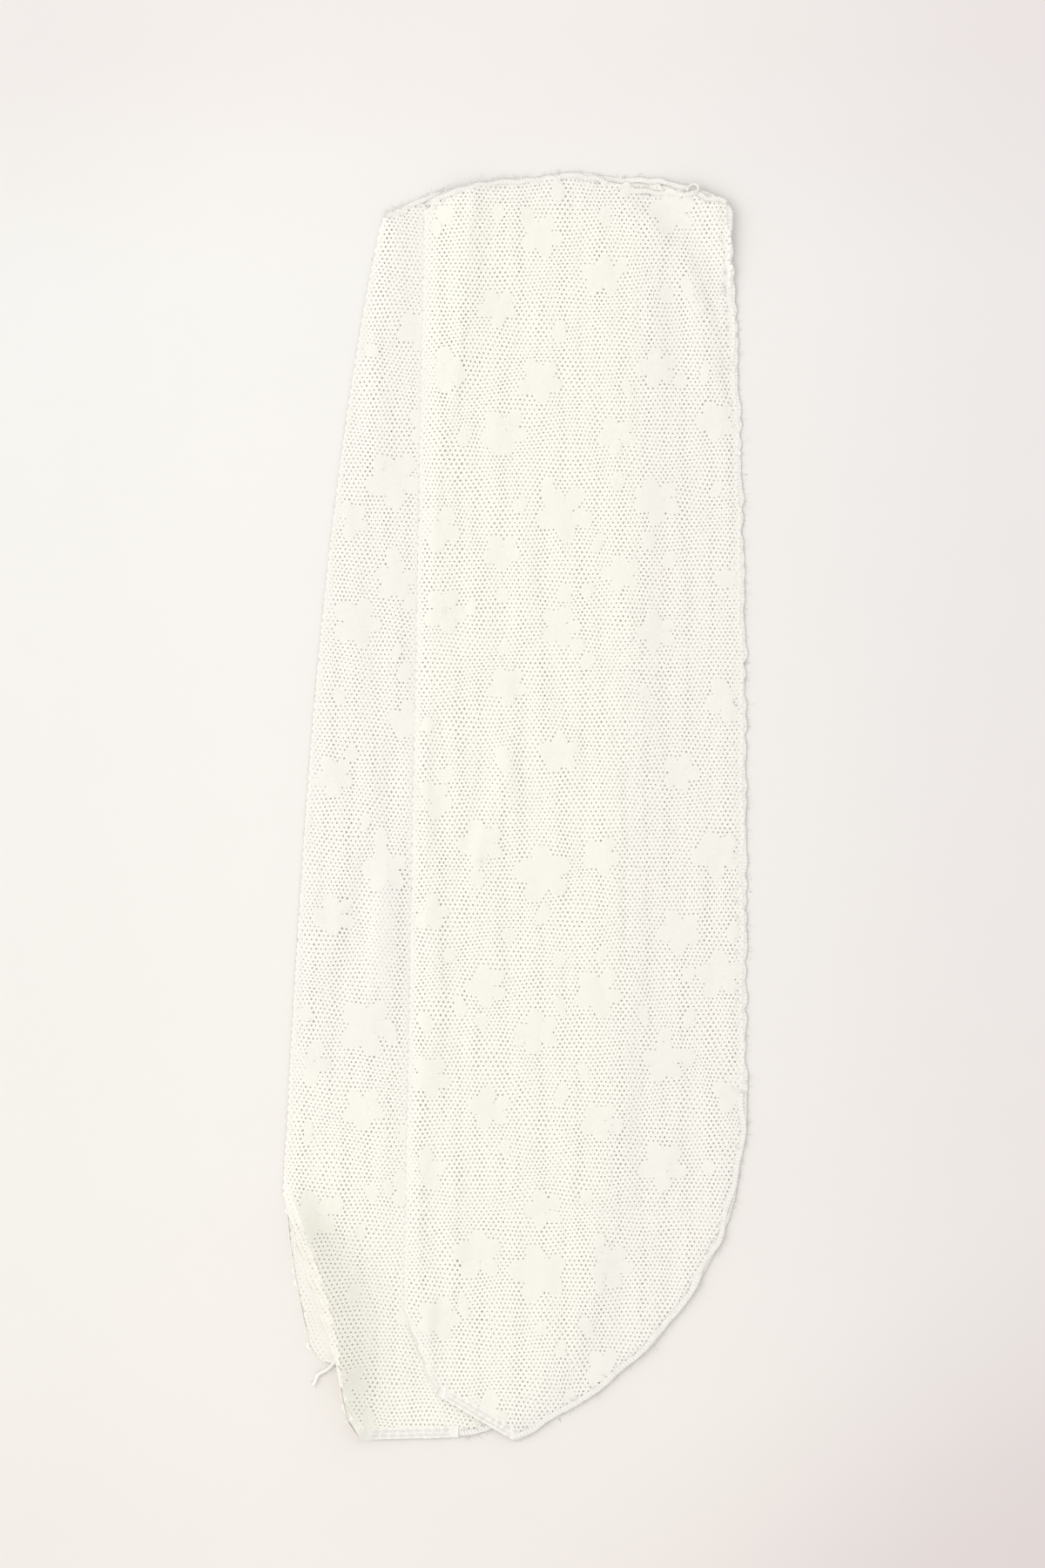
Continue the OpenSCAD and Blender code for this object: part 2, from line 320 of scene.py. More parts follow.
def upper_layers(x, y):
    """Heights of the upper glove's back and front layers, draped over the lower glove."""
    _, below = lower_layers(x, y)
    on_lower = smooth((inside_by(x, y, LOWER_RING) + DROP_RUN) / DROP_RUN)
    u, v = UPPER.flat(x, y)
    rest = GLOVE_REST * pressed(UPPER, u, v)
    back = REST_Z + on_lower * (below + rest - REST_Z)
    # The side seam and the arm's curve stand up off the table.
    to_seam = UPPER.seam_u(np.maximum(v, -SEAM_LEN)) - u
    lifted = 0.05 + 0.06 * ripple(y, y, 23, 70, 70)
    back = back + lifted * smooth(1 - to_seam / 12) * smooth((v + 330) / 60)
    to_arm = inside_by(x, y, UPPER_RING)
    back = back + 0.3 * smooth(1 - to_arm / 12) * smooth((-v - 300) / 40) * smooth((u + 10) / 30)
    gap = LAYER_GAP + 0.1 * ripple(x, y, 21, 12, 120) + 0.03 * ripple(x, y, 22, 7, 24)
    front = back + np.maximum(gap * pressed(UPPER, u, v), LEAST_GAP)
    # A soft ridge runs up beside the folded side, and away from it to the hand end.
    edge_x, _ = UPPER.world(UPPER.fold_u(v), v)
    ridge_x = edge_x + np.interp(y, RIDGE_Y, RIDGE_IN)
    height = np.interp(y, RIDGE_Y, RIDGE_H)
    left = smooth(1 - (ridge_x - x) / (ridge_x - edge_x))
    right = np.exp(-np.maximum(x - ridge_x, 0) / 5.0)
    puff = height * np.where(x < ridge_x, left, right)
    front = front + puff
    back = back + 0.6 * puff
    # The seam's corner at the hand end stands up past an arc.
    far, side, _ = to_line(x, y, HAND_ARC)
    rise = 2.6 * smooth(far / 13) * (side > 0)
    front = front + rise + groove(x, y, HAND_ARC, 3.0, 0.5, 0.1)
    back = back + 0.85 * rise
    front = front + bank(x, y, HAND_FOLD, 10, 5, 0.7)
    front = front + groove(x, y, MIDDLE_VALLEY, 2.4, 0.3)
    front = front + bank(x, y, MIDDLE_FOLD, 5, 10, 0.7)
    front = front + bank(x, y, ARM_FOLD, 9, 4.5, 1.2, 0.35)
    # Two pressed creases cross the glove.
    for crease_y, depth in ((52, 0.6), (-130, 0.5)):
        front = front + groove(x, y, [(-40, crease_y + 2), (80, crease_y - 3)], 2.4, depth, 0)
    front = np.maximum(front, back + LEAST_GAP)
    return back, front


GRID_STEP = 0.8
GRID_X = np.arange(-84.0, 86.0, GRID_STEP)
GRID_Y = np.arange(-214.0, 216.0, GRID_STEP)
GRID = np.meshgrid(GRID_X, GRID_Y, indexing="ij")
LAYERS = {"lower": lower_layers(*GRID), "upper": upper_layers(*GRID)}
FOLD_R = 0.25


def heights(glove, x, y):
    """Heights of a glove's back and front layers at points, from the grid."""
    gx = np.clip((x - GRID_X[0]) / GRID_STEP, 0, len(GRID_X) - 1.001)
    gy = np.clip((y - GRID_Y[0]) / GRID_STEP, 0, len(GRID_Y) - 1.001)
    i, j = gx.astype(int), gy.astype(int)
    a, b = gx - i, gy - j
    return [
        (1 - a) * ((1 - b) * z[i, j] + b * z[i, j + 1])
        + a * ((1 - b) * z[i + 1, j] + b * z[i + 1, j + 1])
        for z in LAYERS[glove.name]
    ]


def lay(glove, u, v, face, relief=0.0):
    """Points on a folded glove. face is 1 for the front layer, which turns over at the fold
    and goes on below, and -1 for the back. relief is how far a point stands off its layer."""
    far, way_u, way_v = glove.from_fold(u, v)
    if face > 0:
        turn = np.clip(far / FOLD_R, -np.pi / 2, np.pi / 2)
        flat_part = np.maximum(np.abs(far) - FOLD_R * np.pi / 2, 0)
        out = FOLD_R * (1 - np.cos(turn)) + flat_part
    else:
        turn = np.full(np.shape(far), -np.pi / 2)
        out = far
    out = out - relief * np.cos(turn)
    x, y = glove.world(u + (out - far) * way_u, v + (out - far) * way_v)
    back, front = heights(glove, x, y)
    z = (back + front) / 2 + ((front - back) / 2 + relief) * np.sin(turn)
    return np.stack([x, y, np.maximum(z, 0.08)], -1)


# ---------------------------------------------------------------- lace

# The net's pitch, and its holes as a share of a cell, for the front layer (1) and the back (-1).
PITCH = 1.45
OPEN_HOLE = {1: 0.4, -1: 0.23}
STRIPE_HOLE = {1: 0.3, -1: 0.18}
PETAL_HOLE = 0.2
FLAP_HOLE = 0.3
FOLDED_ON_HOLE = 0.2
CREASE_HOLE = 0.32
UNDER_CREASE_HOLE = 0.72
FOLD_HOLE = 0.08
# How much wider the back layer's holes are where it lies on the other glove.
DOUBLED_HOLE = 0.04
# How far holes stay small beside the fold, and how far the front layer goes on round it.
FOLD_CLOSED = 3.0
MARGIN = 2.6
ARM_END = -404

STRIPE_HALF, STRIPE_GAP, STRIPE_BOW = (1.6, 2.8), (1.6, 2.8), (6, 11)
FLOWER_SIZE, BIG_FLOWER, FLOWER_APART = (12, 16), 18.5, 17
FLOWER_COLUMN, FLOWER_ROW = 19.0, 44.0
BUD_STEP, BUD_CHANCE = 17.0, 0.22
BUD_LONG, BUD_WIDE, BUD_TURN = (2.4, 3.8), (1.4, 2.2), (60, 120)


class Pattern:
    """What the lace is made of at each flat point: open net, stripe, petal or bud."""

    def __init__(self, glove, seed, big_flowers=()):
        rng = np.random.default_rng(seed)
        self.rng = rng
        reach = glove.half_w(-400) + 8
        self.stripes = []
        u = -reach + rng.uniform(0, 4)
        while u < reach:
            half = rng.uniform(*STRIPE_HALF)
            bow = rng.uniform(*STRIPE_BOW)
            self.stripes.append((u + half, half, bow, rng.uniform(0, 7), rng.uniform(0, 7)))
            u += 2 * half + rng.uniform(*STRIPE_GAP)
        self.blobs = []
        flowers = [(fu, fv, BIG_FLOWER) for fu, fv in big_flowers]
        for i, column in enumerate(np.arange(-reach, reach, FLOWER_COLUMN)):
            for fv in np.arange(14.0 - FLOWER_ROW / 2 * (i % 2), ARM_END, -FLOWER_ROW):
                spot = (column + rng.uniform(-5, 5), fv + rng.uniform(-9, 9))
                if all(math.hypot(spot[0] - f[0], spot[1] - f[1]) > FLOWER_APART for f in flowers):
                    flowers.append((*spot, rng.uniform(*FLOWER_SIZE)))
        for fu, fv, size in flowers:
            self.add_flower(fu, fv, size, rng.uniform(0, 360))
        for centre, half, bow, phase, sway in self.stripes:
            for v in np.arange(8.0, ARM_END, -BUD_STEP):
                if rng.uniform() < BUD_CHANCE:
                    side = rng.choice([-1, 1])
                    at_v = v + rng.uniform(-6, 6)
                    at_u = self.stripe_mid(centre, sway, at_v) + side * half
                    long, wide = rng.uniform(*BUD_LONG), rng.uniform(*BUD_WIDE)
                    self.blobs.append((at_u, at_v, long, wide, rng.uniform(*BUD_TURN)))
        self.blobs = np.array(self.blobs)

    def add_flower(self, u, v, size, turn):
        """Five petals round a small middle, larger on one side."""
        self.blobs.append((u, v, 0.12 * size, 0.12 * size, 0.0))
        for k in range(5):
            angle = math.radians(turn + 72 * k + self.rng.uniform(-5, 5))
            grow = 1.0 + 0.12 * math.cos(angle - math.pi) + self.rng.uniform(-0.05, 0.05)
            out = 0.29 * size
            self.blobs.append(
                (
                    u + out * math.cos(angle),
                    v + out * math.sin(angle),
                    0.225 * size * grow,
                    0.175 * size * grow,
                    math.degrees(angle),
                )
            )

    @staticmethod
    def stripe_mid(centre, sway, v):
        return centre + 0.9 * np.sin(v / 31.0 + sway) + 0.4 * np.sin(v / 11.0 + 2 * sway)

    @staticmethod
    def scallop(v, bow, phase):
        return 0.9 * np.abs(np.sin(np.pi * v / bow + phase))

    def in_stripe(self, u, v):
        """How far points are inside the nearest stripe, negative outside."""
        best = np.full(np.shape(u), -99.0)
        for centre, half, bow, phase, sway in self.stripes:
            off = np.abs(u - self.stripe_mid(centre, sway, v))
            best = np.maximum(best, half - 0.5 + self.scallop(v, bow, phase) - off)
        return best

    def in_blob(self, u, v):
        """How far points are inside the nearest petal or bud, negative outside."""
        best = np.full(np.shape(u), -99.0)
        for bu, bv, long, wide, turn in self.blobs:
            near = np.flatnonzero((np.abs(u - bu) < long + 3) & (np.abs(v - bv) < long + 3))
            c, s = math.cos(math.radians(turn)), math.sin(math.radians(turn))
            du, dv = u[near] - bu, v[near] - bv
            level = np.hypot((c * du + s * dv) / long, (c * dv - s * du) / wide)
            best[near] = np.maximum(best[near], (1 - level) * wide)
        return best


def hand_dip(glove, u):
    """How far the front layer's edge at the hand lies short of the back layer's."""
    return 3.4 * np.exp(-(((u - 24) / 12) ** 2)) if glove is UPPER else 0 * u


def net_cells(glove, face):
    """Rows and columns of the net's cells that lie on one layer, with their middles."""
    side = PITCH / math.sqrt(3)
    reach = glove.half_w(-400) + 12
    rows = np.arange(int(-406 / (1.5 * side)), int(16 / (1.5 * side)))
    cols = np.arange(int(-reach / PITCH), int(reach / PITCH))
    j, i = (a.ravel() for a in np.meshgrid(rows, cols, indexing="ij"))
    cu, cv = (i + 0.5 * (j % 2)) * PITCH, j * 1.5 * side
    ring = glove.outline(0.6)
    far, _, _ = glove.from_fold(cu, cv)
    keep = inside_by(cu, cv, ring) > 0
    if face > 0:
        keep &= cv < glove.hand_v(cu) - 0.6 - hand_dip(glove, cu)
    if face > 0:
        keep |= (
            (far < 1.5)
            & (far > -MARGIN)
            & (cv < glove.hand_v(cu) - 2.2)
            & (cv > glove.hem[:, 1].max() + 1)
        )
    else:
        keep &= far > 0.4
        if glove is LOWER:
            keep |= (inside_by(cu, cv, FLAP_RING) > -0.7) & (far < 1.5)
    return i[keep], j[keep], cu[keep], cv[keep]


def net(glove, pattern, face, seed):
    """The net: a rim of six points in each cell, joined to its neighbours' rims by threads."""
    rng = np.random.default_rng(seed)
    side = PITCH / math.sqrt(3)
    i, j, cu, cv = net_cells(glove, face)
    stripe, blob = pattern.in_stripe(cu, cv), pattern.in_blob(cu, cv)
    rim = OPEN_HOLE[face] + (STRIPE_HOLE[face] - OPEN_HOLE[face]) * smooth(stripe / 1.2 + 0.5)
    rim = rim + rng.uniform(-0.05, 0.05, len(cu))
    rim[blob > 0.7] = PETAL_HOLE
    if face > 0:
        back_z, front_z = heights(glove, *glove.world(cu, cv))
        rim *= 1 - 0.45 * smooth((front_z - back_z - 0.8) / 1.2)
    elif glove is UPPER:
        x, y = glove.world(cu, cv)
        rim += DOUBLED_HOLE * over_lower(glove, x, y)
    if glove is LOWER:
        # Under the crease the corner is one layer thick: the back layer thins out there.
        share, crease_side = crease_share(*glove.world(cu, cv))
        share = smooth(4 * share) * (crease_side > 0) * (blob < 0.7)
        rim = rim + ((CREASE_HOLE if face > 0 else UNDER_CREASE_HOLE) - rim) * share
        if face > 0:
            to_upper, _, _ = UPPER.from_fold(*UPPER.flat(*glove.world(cu, cv)))
            rim = FOLDED_ON_HOLE + (rim - FOLDED_ON_HOLE) * smooth(np.abs(to_upper) / 2.4)
        else:
            rim[inside_by(cu, cv, glove.outline()) < 0] = FLAP_HOLE
    far, _, _ = glove.from_fold(cu, cv)
    rim = FOLD_HOLE + (rim - FOLD_HOLE) * smooth(np.abs(far) / FOLD_CLOSED)

    corner_x = np.array([1, 0, -1, -1, 0, 1])
    corner_y = np.array([1, 2, 1, -1, -2, -1])
    kx = 2 * i[:, None] + (j % 2)[:, None] + corner_x
    ky = 3 * j[:, None] + corner_y
    node = (kx + 5000) * 20000 + ky + 10000
    pu = cu[:, None] + rim[:, None] * corner_x * PITCH / 2
    pv = cv[:, None] + rim[:, None] * corner_y * side / 2
    wander_u = 0.3 * ripple(pu, pv, seed + 1, 26, 33) + 0.05 * ripple(pu, pv, seed + 3, 5, 6)
    wander_v = 0.3 * ripple(pu, pv, seed + 2, 31, 27) + 0.05 * ripple(pu, pv, seed + 4, 5, 6)
    pu = (pu + wander_u + rng.normal(0, 0.02, pu.shape)).ravel()
    pv = (pv + wander_v + rng.normal(0, 0.02, pv.shape)).ravel()
    relief = 0.04 + 0.04 * np.repeat(smooth(stripe / 0.8 + 0.5), 6)
    points = lay(glove, pu, pv, face, relief + rng.normal(0, 0.012, len(pu)))

    # A thread between two cells that share an edge, and a knot where three meet.
    here = np.arange(node.size).reshape(node.shape)
    node_a, node_b = node, np.roll(node, -1, 1)
    edge = np.minimum(node_a, node_b) * 10**9 + np.maximum(node_a, node_b)
    order = np.argsort(edge, axis=None, kind="stable")
    sorted_edge = edge.ravel()[order]
    pair = np.flatnonzero(sorted_edge[1:] == sorted_edge[:-1])
    one, two = order[pair], order[pair + 1]
    after = np.roll(here, -1, 1).ravel()
    threads = np.stack([after[one], one, after[two], two], 1)
    order = np.argsort(node, axis=None, kind="stable")
    sorted_node = node.ravel()[order]
    triple = np.flatnonzero(sorted_node[2:] == sorted_node[:-2])
    knots = np.stack([order[triple], order[triple + 1], order[triple + 2]], 1)
    a, b, c = knots.T
    turn = (pu[b] - pu[a]) * (pv[c] - pv[a]) - (pv[b] - pv[a]) * (pu[c] - pu[a])
    knots[turn < 0] = knots[turn < 0][:, ::-1]
    return points, threads.tolist() + knots.tolist()


# A petal's rings: how far out, as a share of its size, and how high.
PETAL_RINGS = ((0.0, 0.13), (0.35, 0.13), (0.75, 0.13), (1.0, 0.09))
PETAL_SIDES = 13


def petals(glove, pattern, face, keep_in):
    """Petals and buds: low rounded patches of close stitches lying on the net."""
    parts = []
    u, v = pattern.blobs[:, 0], pattern.blobs[:, 1]
    deep = inside_by(u, v, keep_in)
    far, _, _ = glove.from_fold(u, v)
    turn = np.linspace(0, 2 * np.pi, PETAL_SIDES, endpoint=False)
    faces = [[0, 1 + k, 1 + (k + 1) % PETAL_SIDES] for k in range(PETAL_SIDES)]
    for ring in range(len(PETAL_RINGS) - 2):
        a, b = 1 + ring * PETAL_SIDES, 1 + (ring + 1) * PETAL_SIDES
        for k in range(PETAL_SIDES):
            n = (k + 1) % PETAL_SIDES
            faces.append([a + k, b + k, b + n, a + n])
    for blob, inside, fold in zip(pattern.blobs, deep, far):
        bu, bv, long, wide, angle = blob
        if inside < 0.6 * long or fold < long + 0.4:
            continue
        c, s = math.cos(math.radians(angle)), math.sin(math.radians(angle))
        du, dv, rise = [0.0], [0.0], [PETAL_RINGS[0][1]]
        for share, height in PETAL_RINGS[1:]:
            a, b = share * long * np.cos(turn), share * wide * np.sin(turn)
            du.extend(c * a - s * b)
            dv.extend(s * a + c * b)
            rise.extend([height] * PETAL_SIDES)
        parts.append((lay(glove, bu + np.array(du), bv + np.array(dv), face, np.array(rise)), faces))
    return joined(parts)


def ring_area(ring):
    x, y = ring.T
    return abs(np.sum(x * np.roll(y, -1) - np.roll(x, -1) * y)) / 2 * MM * MM


def over_lower(glove, x, y):
    """How far points of the upper glove are over the lower glove, from 0 to 1."""
    if glove is LOWER:
        return np.zeros(len(x))
    from_fold, _, _ = UPPER.from_fold(*UPPER.flat(x, y))
    return smooth((inside_by(x, y, LOWER_RING) + 4) / 14) * smooth((from_fold + 2) / 9)


def painted_light_share(glove, face, x, y):
    """How much painted light the lace gets, from 0 to 1. Where the gloves lie doubled, a creamier,
    brighter tone is painted for the light that bounces between the layers. At the lower glove's arm
    end, it lightens the slope that faces away from the lamp.
    """
    if glove is LOWER and face > 0:
        return smooth((-40 - y) / 90)
    return over_lower(glove, x, y)


def lace_layer(glove, pattern, face, seed, name, threads):
    """One layer of lace: its threads in one tone and its petals in another. Each has a creamier copy
    that paints the light bouncing between doubled layers.
    """
    inner = glove.outline(2.0)
    parts = [net(glove, pattern, face, seed)]
    if glove is LOWER and face < 0:
        edge = spaced(np.pad(FLAP_RING[:FLAP_EDGE], ((0, 0), (0, 1))), 1.0)
        parts.append(tube(on_layer(glove, edge[:, 0], edge[:, 1], face), 0.24))
    net_points, net_faces = parts[0]
    first = net_points[[face[0] for face in net_faces]]
    petal_points, petal_faces = petals(glove, pattern, face, inner)
    petal_first = petal_points[[face[0] for face in petal_faces]]
    first_petal = sum(len(faces) for _, faces in parts)
    parts.append((petal_points, petal_faces))
    points, faces = joined(parts)
    piece = new_piece(name, points, faces, threads)
    piece.data.materials.append(lace_petal)
    # Painted light: creamier copies of the threads' tone and the petals' tone, for the light that
    # bounces between doubled layers.
    piece.data.materials.append(lace_painted_light if face > 0 else ground_painted_light)
    piece.data.materials.append(petal_painted_light)
    # Faces where the lace gets painted light take the creamier painted-light materials. The threads are
    # dithered between the two tones.
    tones = np.zeros(len(faces), int)
    rng = np.random.default_rng(seed + 9)
    dither = rng.uniform(0, 1, len(first))
    tones[: len(first)] = 2 * (painted_light_share(glove, face, first[:, 0], first[:, 1]) > dither)
    tones[first_petal:] = 1 + 2 * (painted_light_share(glove, face, petal_first[:, 0], petal_first[:, 1]) > 0.5)
    piece.data.polygons.foreach_set("material_index", tones.tolist())
    return piece


# ---------------------------------------------------------------- thread work


def frames_along(path):
    """The way on, the level side and the up of each point of a path."""
    way = np.gradient(path, axis=0)
    way /= np.maximum(np.linalg.norm(way, axis=1), 1e-9)[:, None]
    side = np.cross(way, [0.0, 0.0, 1.0])
    side /= np.maximum(np.linalg.norm(side, axis=1), 1e-9)[:, None]
    return way, side, np.cross(side, way)


def tube(path, radius, sides=5):
    """A round thread along a path. radius is one number, or one for each point."""
    path = np.asarray(path, float)
    _, side, up = frames_along(path)
    radius = np.broadcast_to(radius, len(path))[:, None, None]
    turn = np.linspace(0, 2 * np.pi, sides, endpoint=False)
    circle = side[:, None] * np.cos(turn)[None, :, None] + up[:, None] * np.sin(turn)[None, :, None]
    points = (path[:, None] + radius * circle).reshape(-1, 3)
    faces = []
    for n in range(len(path) - 1):
        a, b = n * sides, (n + 1) * sides
        for k in range(sides):
            m = (k + 1) % sides
            faces.append([a + k, b + k, b + m, a + m])
    faces.append(list(range(sides))[::-1])
    faces.append([(len(path) - 1) * sides + k for k in range(sides)])
    return points, faces


def spaced(path, step):
    """The same path with its points about one step apart."""
    path = np.asarray(path, float)
    done = np.concatenate([[0], np.cumsum(np.linalg.norm(np.diff(path, axis=0), axis=1))])
    at = np.linspace(0, done[-1], max(3, int(done[-1] / step)))
    return np.stack([np.interp(at, done, path[:, k]) for k in range(3)], 1)


CORE_STEP, CORE_SIDES = 0.8, 10
FIBRE_R, FIBRE_LEN = 0.055, (0.3, 1.4)
LEAST_Z = 0.03


def overlock(path, wide, high, seed, thread, fuzz, pitch=1.1):
    """An overlocked edge: a soft core wound with thread, with fibre ends standing out."""
    rng = np.random.default_rng(seed)
    core = spaced(path, CORE_STEP)
    _, side, up = frames_along(core)
    lump = 1 + 0.16 * rng.normal(0, 1, len(core))
    lump = np.convolve(np.pad(lump, 2, mode="edge"), np.ones(5) / 5, "valid")
    turn = np.linspace(0, 2 * np.pi, CORE_SIDES, endpoint=False)
    body = (
        core[:, None]
        + side[:, None] * (np.cos(turn) * wide / 2)[None, :, None] * lump[:, None, None]
        + up[:, None] * (np.sin(turn) * high / 2)[None, :, None] * lump[:, None, None]
    ).reshape(-1, 3)
    faces = []
    for n in range(len(core) - 1):
        a, b = n * CORE_SIDES, (n + 1) * CORE_SIDES
        for k in range(CORE_SIDES):
            m = (k + 1) % CORE_SIDES
            faces.append([a + k, b + k, b + m, a + m])
    faces.append(list(range(CORE_SIDES))[::-1])
    faces.append([(len(core) - 1) * CORE_SIDES + k for k in range(CORE_SIDES)])
    parts = [(body, faces)]
    length = np.linalg.norm(np.diff(core, axis=0), axis=1).sum()
    for strand, (sense, shift) in enumerate(((1, 0.0), (-1, 0.4))):
        turns = length / pitch
        n = int(turns * 10)
        t = np.linspace(0, 1, n)
        at = t * (len(core) - 1)
        index = np.arange(len(core))
        mid = np.stack([np.interp(at, index, core[:, k]) for k in range(3)], 1)
        s = np.stack([np.interp(at, index, side[:, k]) for k in range(3)], 1)
        w = np.stack([np.interp(at, index, up[:, k]) for k in range(3)], 1)
        fat = np.interp(at, index, lump) * (1.04 + 0.07 * ripple(t * length, 0, seed + strand, 5, 9))
        phase = sense * 2 * np.pi * (turns * t + shift) + 0.6 * ripple(t * length, 0, seed + 7, 9, 9)
        line = (
            mid
            + s * (np.cos(phase) * wide / 2 * fat)[:, None]
            + w * (np.sin(phase) * high / 2 * fat)[:, None]
        )
        parts.append(tube(line, thread / 2 * (1 + 0.2 * strand), 4))
    for _ in range(int(length * fuzz)):
        n = rng.integers(1, len(core) - 2)
        a = rng.choice([0.0, np.pi]) + rng.normal(0, 0.5)
        out = side[n] * math.cos(a) + up[n] * abs(math.sin(a))
        start = core[n] + side[n] * math.cos(a) * wide / 2 + up[n] * abs(math.sin(a)) * high / 2
        bend = rng.normal(0, 0.5, 3)
        long = rng.uniform(*FIBRE_LEN)
        t = np.linspace(0, 1, 4)[:, None]
        parts.append(tube(start + long * (t * out + t * t * bend), FIBRE_R, 3))
    points, faces = joined(parts)
    points[:, 2] = np.maximum(points[:, 2], LEAST_Z)
    return points, faces


def on_layer(glove, u, v, face, lift=0.0):
    """Points on one layer, lifted off it."""
    return lay(glove, np.asarray(u, float), np.asarray(v, float), face, 0) + [0, 0, lift]


def side_seam(glove, seed):
    """The overlocked seam that joins the two layers down the right side."""
    v = np.linspace(-1.5, -SEAM_LEN - 4, 260)
    u = glove.seam_u(np.maximum(v, -SEAM_LEN)) - 1.6
    u = u + 0.25 * ripple(v, 0, seed, 22, 9) + 0.22 * ripple(v, 0, seed + 3, 6, 9)
    path = (on_layer(glove, u, v, 1) + on_layer(glove, u, v, -1)) / 2
    path[:, 2] = np.maximum(path[:, 2] - 0.12, 0.28)
    return overlock(path, 3.0, 0.32, seed, thread=0.18, fuzz=2.5)


def hand_edging(glove, seed):
    """The edge of each layer at the hand opening; the back layer's stands a little further."""
    parts = []
    u = np.linspace(-glove.half + 0.8, glove.half - 1.2, 90)
    for face, inset, extra in ((1, 1.3, 0), (-1, 1.0, 1)):
        wave = 0.35 * ripple(u, 0, seed, 26, 9) + 0.2 * ripple(u, 0, seed + 2 + extra, 7, 9)
        v = glove.hand_v(u) - inset + wave - (hand_dip(glove, u) if face > 0 else 0)
        path = on_layer(glove, u, v, face, 0.02)
        path[:, 2] = np.maximum(path[:, 2] + 0.1 * ripple(u, 0, seed + 4, 15, 9), 0.22)
        parts.append(overlock(path, 1.6, 0.26, seed + extra, pitch=0.9, thread=0.16, fuzz=2.0))
    return joined(parts)


def arm_edging(glove, seed):
    """The overlocked edge of each layer along the curved arm opening."""
    parts = []
    t = np.linspace(0.0, 1.0, 110)
    arm = glove.curve(t)
    way = np.gradient(arm, axis=0)
    way /= np.linalg.norm(way, axis=1)[:, None]
    inward = np.stack([way[:, 1], -way[:, 0]], 1)
    for face, inset, extra in ((1, 1.2, 0), (-1, 1.0, 1)):
        wave = 0.3 * ripple(t * 150, 0, seed + extra, 24, 9)
        at = arm + inward * (inset + wave)[:, None]
        path = on_layer(glove, at[:, 0], at[:, 1], face, 0.1)
        path[:, 2] = np.maximum(path[:, 2] - 0.05, 0.3)
        parts.append(overlock(path, 1.9, 0.3, seed + extra, thread=0.16, fuzz=2.0))
    return joined(parts)


HEM_DEEP = 4.0
HEM_RISE = 0.22
STITCH_ROWS = (1.25, 2.75)
STITCH_LEN, STITCH_STEP, STITCH_R, STITCH_LIFT = 2.1, 2.8, 0.2, 0.3


def hem_points(glove, along, deep):
    """Flat points of the hem: along from the tip, and deep from its lower edge."""
    run = glove.hem[0] - glove.hem[1]
    length = np.linalg.norm(run)
    way = run / length
    inward = np.array([way[1], -way[0]])
    at = glove.hem[1] + np.multiply.outer(along * length, way) + np.multiply.outer(deep, inward)
    return at[:, 0], at[:, 1]


def hem(glove, seed):
    """The turned hem of both layers, a double strip with puckers along its stitching."""
    parts = []
    rows = np.linspace(0.15, HEM_DEEP, 9)
    n = 70
    for face in (1, -1):
        grid = []
        for deep in rows:
            along = np.linspace(0.01, 0.985, n)
            pucker = 0.12 * ripple(along * 30, deep, seed, 2.6, 6)
            u, v = hem_points(glove, along, np.full(n, deep))
            rise = HEM_RISE * np.sin(np.pi * (deep / HEM_DEEP)) ** 0.5 + pucker
            grid.append(on_layer(glove, u, v, face, 0) + np.stack([0 * rise, 0 * rise, face * rise], 1))
        points = np.concatenate(grid)
        faces = [
            [r * n + k, r * n + k + 1, (r + 1) * n + k + 1, (r + 1) * n + k]
            for r in range(len(rows) - 1)
            for k in range(n - 1)
        ]
        points[:, 2] = np.maximum(points[:, 2], 0.05)
        parts.append((points, faces))
    return joined(parts)


def hem_stitches(glove, seed):
    """Two rows of straight stitches along the top of the hem."""
    parts = []
    rng = np.random.default_rng(seed)
    length = np.linalg.norm(glove.hem[0] - glove.hem[1])
    for deep in STITCH_ROWS:
        for start in np.arange(3.5, length - 4.5, STITCH_STEP):
            along = (start + np.linspace(0, STITCH_LEN, 6)) / length
            u, v = hem_points(glove, along, np.full(6, deep) + rng.normal(0, 0.04))
            path = on_layer(glove, u, v, 1, STITCH_LIFT)
            path[:, 2] += 0.16 * np.sin(np.linspace(0, np.pi, 6))
            parts.append(tube(path, STITCH_R, 5))
    return joined(parts)


def twisted(path, thick, pitch, seed):
    """Three threads twisted together along a path, with a few fibres."""
    path = spaced(path, 0.2)
    _, side, up = frames_along(path)
    done = np.linspace(0, 1, len(path)) * np.linalg.norm(np.diff(path, axis=0), axis=1).sum()
    rng = np.random.default_rng(seed)
    parts = []
    for k in (0, 1, 2):
        phase = 2 * np.pi * (done / pitch + k / 3)
        line = path + thick / 4 * (side * np.cos(phase)[:, None] + up * np.sin(phase)[:, None])
        parts.append(tube(line, thick / 4 * (1 + 0.1 * rng.normal()), 6))
    for n in rng.integers(1, len(path) - 2, 26):
        out = rng.normal(0, 1, 3)
        t = np.linspace(0, 1, 4)[:, None]
        parts.append(tube(path[n] + t * out * 0.8 + t * t * rng.normal(0, 0.5, 3), 0.05, 3))
    points, faces = joined(parts)
    points[:, 2] = np.maximum(points[:, 2], LEAST_Z)
    return points, faces


TAIL_LEN, TAIL_DROP, TAIL_TURN, TAIL_THICK = 10.0, 56.0, 225.0, 1.1
CURL_R, CURL_IN, CURL_RISE, CURL_THICK = 1.7, 12.0, 3.6, 0.9


